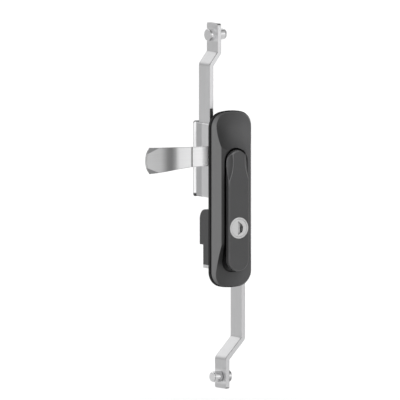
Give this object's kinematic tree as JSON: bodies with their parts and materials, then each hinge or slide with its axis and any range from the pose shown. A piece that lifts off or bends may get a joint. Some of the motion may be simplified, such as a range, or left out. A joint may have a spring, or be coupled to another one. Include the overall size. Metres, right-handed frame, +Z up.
{
  "type": "swing handle lock",
  "caption": "Swing handle lock for a cabinet door: black dish with a lift-and-turn keyed lever, side cam, gearbox and cranked flat rods with rollers.",
  "frame": {"origin": "the spindle's axis where it crosses the outer face of the door, which is the back of the gasket", "axes": "+Z up along the rods, -Y out towards the user, +X to the user's right"},
  "size_m": [0.0937, 0.0487, 0.2826],
  "materials": {
    "black_coat": "satin black powder coat on die-cast zinc",
    "lever_coat": "satin black powder coat on die-cast zinc",
    "black_plastic": "moulded black polyamide",
    "gasket_rubber": "black sealing rubber",
    "zinc_steel": "bright zinc-plated steel",
    "rod_steel": "zinc-plated flat bar",
    "gear_steel": "machined steel",
    "cam_steel": "polished zinc-plated steel",
    "gearbox_metal": "pressed zinc-plated steel",
    "roller_steel": "turned steel",
    "cylinder_chrome": "satin chrome",
    "bush_brass": "turned brass"
  },
  "bodies": {
    "lock_body": {"dish": "black_coat", "gasket": "gasket_rubber", "lock_keeper": "zinc_steel", "door_hook": "black_coat", "lock_case": "black_plastic", "lock_case_screws": "zinc_steel", "clamp_bracket": "zinc_steel", "clamp_screws": "zinc_steel", "gearbox_front_shell": "gearbox_metal", "gearbox_back_shell": "gearbox_metal", "gearbox_screws": "zinc_steel", "front_bush": "bush_brass", "rear_bush": "bush_brass"},
    "shaft": {"spindle": "zinc_steel", "cam": "cam_steel", "pinion": "gear_steel", "spindle_washer": "zinc_steel", "spindle_screw": "zinc_steel"},
    "lever": {"lever": "lever_coat", "pivot_pin": "zinc_steel", "cylinder_ring": "cylinder_chrome"},
    "key_plug": {"cylinder_plug": "cylinder_chrome", "lock_tongue": "zinc_steel", "tongue_screw": "zinc_steel"},
    "upper_bar": {"upper_rod": "rod_steel", "upper_rack": "gear_steel", "upper_rack_rivets": "zinc_steel", "upper_roller_stud": "roller_steel", "upper_roller_cap": "roller_steel"},
    "upper_wheel": {"upper_roller": "roller_steel"},
    "lower_bar": {"lower_rod": "rod_steel", "lower_rack": "gear_steel", "lower_rack_rivets": "zinc_steel", "lower_roller_stud": "roller_steel", "lower_roller_cap": "roller_steel"},
    "lower_wheel": {"lower_roller": "roller_steel"}
  },
  "joints": [
    {"name": "handle_turn", "type": "hinge", "parent": "lock_body", "child": "shaft", "pos_m": [0, 0, 0], "axis": [0, 1, 0], "range_deg": [0, 90]},
    {"name": "lever_lift", "type": "hinge", "parent": "shaft", "child": "lever", "pos_m": [0, -0.0126, 0], "axis": [-1, 0, 0], "range_deg": [0, 25]},
    {"name": "key_turn", "type": "hinge", "parent": "lever", "child": "key_plug", "pos_m": [0, -0.0126, -0.0507], "axis": [0, 1, 0], "range_deg": [0, 90]},
    {"name": "upper_rod_slide", "type": "slide", "parent": "lock_body", "child": "upper_bar", "axis": [0, 0, -1], "range_m": [0, 0.01022]},
    {"name": "lower_rod_slide", "type": "slide", "parent": "lock_body", "child": "lower_bar", "axis": [0, 0, 1], "range_m": [0, 0.01022]},
    {"name": "upper_roller_spin", "type": "hinge", "parent": "upper_bar", "child": "upper_wheel", "pos_m": [0.00095, 0.0152, 0.0965], "axis": [1, 0, 0], "continuous": true},
    {"name": "lower_roller_spin", "type": "hinge", "parent": "lower_bar", "child": "lower_wheel", "pos_m": [-0.00155, 0.0152, -0.1682], "axis": [1, 0, 0], "continuous": true}
  ],
  "couplings": [
    {"joint": "upper_rod_slide", "follows": "handle_turn", "m_per_rad": 0.0065},
    {"joint": "lower_rod_slide", "follows": "handle_turn", "m_per_rad": 0.0065}
  ]
}
